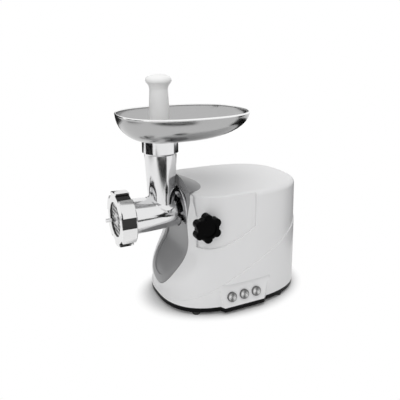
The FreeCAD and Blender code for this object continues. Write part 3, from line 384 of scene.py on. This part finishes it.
def spunMetal(name):
    look = buttonLook
    material, shader, start = newFinish("button_metal_" + name, {"Metallic": 1.0})
    low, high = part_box(name)
    middle = (low + high) / 2
    press = next(j for j in frame["joints"] if j["name"] == name + "_press")
    inward = Vector(press["axis"])
    across = Vector((1, 0, 0))
    along = inward.cross(across)
    where = places(start)
    offset = start.node("VectorMath", {"operation": "SUBTRACT"}, {0: where, 1: tuple(middle)})
    u = start.node("VectorMath", {"operation": "DOT_PRODUCT"}, {0: offset, 1: tuple(across)}, "Value")
    v = start.node("VectorMath", {"operation": "DOT_PRODUCT"}, {0: offset, 1: tuple(along)}, "Value")
    distance = (u * u + v * v) ** 0.5
    angle = start.calc("ARCTAN2", v, u)
    wave = start.calc("SINE", angle * look["wedges"] + look["wedgeTurn"])
    paintedReflectionFan = wave * 0.5 + 0.5  # painted reflection: the two bright wedges that spun metal shows
    rings = start.calc("SINE", distance * (2 * math.pi / look["rings"]))
    hub = 1.0 - distance.fade(look["hubStart"], look["hubEnd"])
    rim = distance.fade(look["rimStart"], look["rimEnd"])
    inner = paintedReflectionFan * (1.0 - hub) * look["paintedReflectionTone"] + hub * look["hubTone"]
    tone = inner * (1.0 - rim * look["rimTone"])
    feed(shader, {
        "Base Color": tone.blend(grey(look["dark"]), grey(look["bright"])),
        "Roughness": look["rough"] + rings * look["ringRough"] + rim * look["rimRough"],
        "Normal": bump(start, rings, look["grain"], look["depth"]),
    })
    return material


finishes = {name: mouldedPlastic(name) for name in mouldedLook}
finishes.update({name: workedMetal(name) for name in metalLook})
finishes["polished_steel"] = pressedSteel()
finishes["rubber_black"] = softRubber()
finishes["pusher_white"] = pusherPlastic()
finishes["copper"] = copperWinding()
finishes["board_green"] = circuitBoard()
for piece in frame["record"]["subparts"]:
    node, slotName = piece["node"], piece["material_slot"]
    dress(spunMetal(node) if slotName == "button_metal" else finishes[slotName], node)
dress(ringNutMetal(), "ring_nut")

trayShape = {  # millimetres from headPoint
    "centre": 35.5, "halfLength": 94.5, "halfWidth": 73.0, "roundness": 2.46, "rim": 144.0, "bottom": 108.5,
    "floorFront": -25.0, "floorRear": 50.0, "floorHalfWidth": 27.0, "wall": 1.2,
    "rollHigh": 1.6, "rollWide": 1.0, "rollInset": 0.6, "rollSteps": 14, "rollStart": 1.25, "rollSweep": 1.5,
    "spout": 22.3, "spoutWall": 1.2, "spoutLow": 93.5, "spoutDrop": 0.8, "spoutFlare": 0.6,
    "mouthFlare": 1.0, "mouthRise": 0.4, "segments": 160,
    "shares": (0.0, 0.01, 0.03, 0.06, 0.1, 0.16, 0.22, 0.3, 0.4, 0.52, 0.65, 0.8, 0.92),
}


def trayRing(z, inset):
    t = trayShape
    share = max(0.0, min(1.0, (z - t["bottom"]) / (t["rim"] - t["bottom"])))
    grow = math.sqrt(1 - (1 - share) ** 2)
    x0 = t["floorFront"] + (t["centre"] - t["halfLength"] - t["floorFront"]) * grow + inset
    x1 = t["floorRear"] + (t["centre"] + t["halfLength"] - t["floorRear"]) * grow - inset
    side = t["floorHalfWidth"] + (t["halfWidth"] - t["floorHalfWidth"]) * grow - inset
    ring = []
    for step in range(t["segments"]):
        turn = 2 * math.pi * step / t["segments"]
        c, s = math.cos(turn), math.sin(turn)
        p = t["roundness"]
        reach = (abs(c) ** p + abs(s) ** p) ** (-1 / p)
        ring.append(((x0 + x1) / 2 + (x1 - x0) / 2 * reach * c, side * reach * s))
    return ring


def roundRing(radius):
    count = trayShape["segments"]
    turns = [2 * math.pi * k / count for k in range(count)]
    return [(radius * math.cos(turn), radius * math.sin(turn)) for turn in turns]


def meshFromRings(name, rings):  # each ring joins the next, and the last joins the first
    mesh = bmesh.new()
    rows = [[mesh.verts.new(headPoint + Vector((x, y, z)) / perMetre) for x, y in ring] for z, ring in rings]
    for lower, upper in zip(rows, rows[1:] + rows[:1]):
        for k in range(len(lower)):
            n = (k + 1) % len(lower)
            mesh.faces.new((lower[k], lower[n], upper[n], upper[k]))
    bmesh.ops.recalc_face_normals(mesh, faces=mesh.faces)
    for face in mesh.faces:
        face.smooth = True
    data = bpy.data.meshes.new(name)
    mesh.to_mesh(data)
    mesh.free()
    piece = bpy.data.objects.new(name, data)
    bpy.context.scene.collection.objects.link(piece)
    return piece


def feedTray():
    t = trayShape
    height = t["rim"] - t["bottom"]
    inner = t["spout"] - t["spoutWall"]
    rings = [(t["spoutLow"], roundRing(inner)), (t["spoutLow"], roundRing(t["spout"])),
             (t["bottom"] - t["spoutDrop"], roundRing(t["spout"])),
             (t["bottom"], roundRing(t["spout"] + t["spoutFlare"]))]
    for share in t["shares"]:
        z = t["bottom"] + height * share
        rings.append((z, trayRing(z, 0)))
    for step in range(t["rollSteps"] + 1):  # the rolled rim, from outside over the top to inside
        turn = math.pi * (t["rollStart"] - t["rollSweep"] * step / t["rollSteps"])
        inset = t["rollInset"] + t["rollWide"] * math.cos(turn)
        rings.append((t["rim"] + t["rollHigh"] * math.sin(turn), trayRing(t["rim"], inset)))
    for share in reversed(t["shares"]):
        z = t["bottom"] + height * share
        rings.append((z + t["wall"], trayRing(z, t["wall"])))
    rings += [(t["bottom"] + t["wall"], roundRing(inner + t["mouthFlare"])),
              (t["bottom"] + t["mouthRise"], roundRing(inner))]
    piece = meshFromRings("feedTray", rings)
    piece.data.materials.append(finishes["polished_steel"])
    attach(piece, "hopper")
    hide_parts("tray")


feedTray()
print("tray built")


def seenRays(start):  # 1 for camera, glossy and transmitted rays
    path = start.node("LightPath", out="Is Camera Ray")
    owner = path.socket.node
    glossy = Signal(start.tree, owner.outputs["Is Glossy Ray"])
    through = Signal(start.tree, owner.outputs["Is Transmission Ray"])
    return start.calc("MAXIMUM", start.calc("MAXIMUM", path, glossy), through)


def rectangle(name, corners, material):
    data = bpy.data.meshes.new(name)
    data.from_pydata(corners, [], [(0, 1, 2, 3)])
    data.materials.append(material)
    piece = bpy.data.objects.new(name, data)
    bpy.context.scene.collection.objects.link(piece)
    return piece


floorLook = {
    "size": 6.0, "color": 0.9, "dark": 0.99, "rough": 0.6, "gloss": 0.2, "speckleScale": 60.0,
    "middle": (0.031, 0.0), "base": (0.119, 0.088), "near": 0.96, "far": 1.22,
}


def studioFloor():
    look = floorLook
    constants = {"Roughness": look["rough"], "Specular IOR Level": look["gloss"]}
    material, shader, start = newFinish("paleFloor", constants)
    where = places(start)
    x, y = axesOf(start, where)[:2]
    middle, base = look["middle"], look["base"]
    distance = (((x - middle[0]) / base[0]) ** 2.0 + ((y - middle[1]) / base[1]) ** 2.0) ** 0.5
    speckle = noise(start, where, look["speckleScale"])
    feed(shader, {"Base Color": speckle.blend(grey(look["color"] * look["dark"]), grey(look["color"]))})
    away = distance.fade(look["near"], look["far"])
    white = start.node("Emission", links={"Color": grey(1.0), "Strength": 1.0})
    plain = Signal(start.tree, shader.outputs[0])
    mixed = start.node("MixShader", links={0: seenRays(start) * away, 1: plain, 2: white})
    output = material.node_tree.nodes["Material Output"]
    start.tree.links.new(mixed.socket, output.inputs["Surface"])
    half = look["size"] / 2
    corners = [(-half, -half, 0), (half, -half, 0), (half, half, 0), (-half, half, 0)]
    floor = rectangle("floor", corners, material)


skyLook = {"ambient": 0.52, "seen": 1.0}


def studioSky():
    world = bpy.data.worlds.new("studioSky")
    bpy.context.scene.world = world
    world.use_nodes = True
    start = Signal(world.node_tree)
    level = skyLook["ambient"] + seenRays(start) * (skyLook["seen"] - skyLook["ambient"])
    back = world.node_tree.nodes["Background"]
    back.inputs["Color"].default_value = grey(1.0)
    start.tree.links.new(level.socket, back.inputs["Strength"])


lampLook = [
    {"name": "overheadSoftbox", "place": (0.0, -0.1, 1.6), "size": (1.6, 1.4), "power": 8.0},
    {"name": "frontSoftbox", "place": (-1.1, -1.2, 1.1), "size": (1.0, 1.2), "power": 6.5},
    {"name": "keySpot", "place": (-0.5, -1.2, 1.0), "size": (0.16, 0.16), "power": 1.2},
]
lampTarget = Vector((0, 0, 0.16))


def aimed(piece, place, direction):
    piece.location = place
    piece.rotation_mode = "QUATERNION"
    piece.rotation_quaternion = direction.to_track_quat("-Z", "Y")


def studioLamps():
    for look in lampLook:
        lamp = bpy.data.lights.new(look["name"], "AREA")
        lamp.shape = "RECTANGLE"
        lamp.size, lamp.size_y = look["size"]
        lamp.energy = look["power"]
        piece = bpy.data.objects.new(look["name"], lamp)
        bpy.context.scene.collection.objects.link(piece)
        piece.visible_glossy = False
        aimed(piece, look["place"], lampTarget - Vector(look["place"]))


clothLook = {"tone": 0.01, "gloss": 0.0}
flagLook = [
    {"name": "darkFlagNear", "low": (-0.60, -0.45, 0.0), "high": (0.12, -0.45, 0.09), "shades": False},
    {"name": "darkFlagRear", "low": (-0.9, 0.9, 0.0), "high": (0.1, 0.9, 0.5), "shades": False},
    {"name": "darkFlagFront", "low": (-0.8, -0.3, 0.0), "high": (-0.8, 0.5, 0.35), "shades": False},
    {"name": "darkFlagRight", "low": (0.30, -0.12, 0.0), "high": (0.30, 0.4, 0.17), "shades": True},
]


def darkCloths():  # seen in the metal's reflections; one that shades also dims the soft light
    constants = {"Base Color": grey(clothLook["tone"]), "Specular IOR Level": clothLook["gloss"]}
    material = newFinish("darkCloth", constants)[0]
    for look in flagLook:
        low, high = look["low"], look["high"]
        corners = [low, (high[0], high[1], low[2]), high, (low[0], low[1], high[2])]
        piece = rectangle(look["name"], corners, material)
        piece.visible_camera = False
        piece.visible_diffuse = look["shades"]
        piece.visible_shadow = False
        piece.visible_transmission = False


cameraLook = {
    "turn": 25.87, "rise": 18.61, "lens": 42.66, "sensor": 36.0, "near": 0.01, "far": 50,
    "place": (-235.4, -613.5, 239.1),  # millimetres from headPoint
}


def studioCamera():
    data = bpy.data.cameras.new("photoCamera")
    data.sensor_width = cameraLook["sensor"]
    data.lens = cameraLook["lens"]
    data.clip_start = cameraLook["near"]
    data.clip_end = cameraLook["far"]
    camera = bpy.data.objects.new("photoCamera", data)
    bpy.context.scene.collection.objects.link(camera)
    turn, rise = math.radians(cameraLook["turn"]), math.radians(cameraLook["rise"])
    back = Vector((-math.sin(turn) * math.cos(rise), -math.cos(turn) * math.cos(rise), math.sin(rise)))
    aimed(camera, headPoint + Vector(cameraLook["place"]) / perMetre, -back)
    bpy.context.scene.camera = camera


studioFloor()
studioSky()
studioLamps()
darkCloths()
studioCamera()
bpy.context.scene.view_settings.view_transform = "Standard"
print("studio ready")
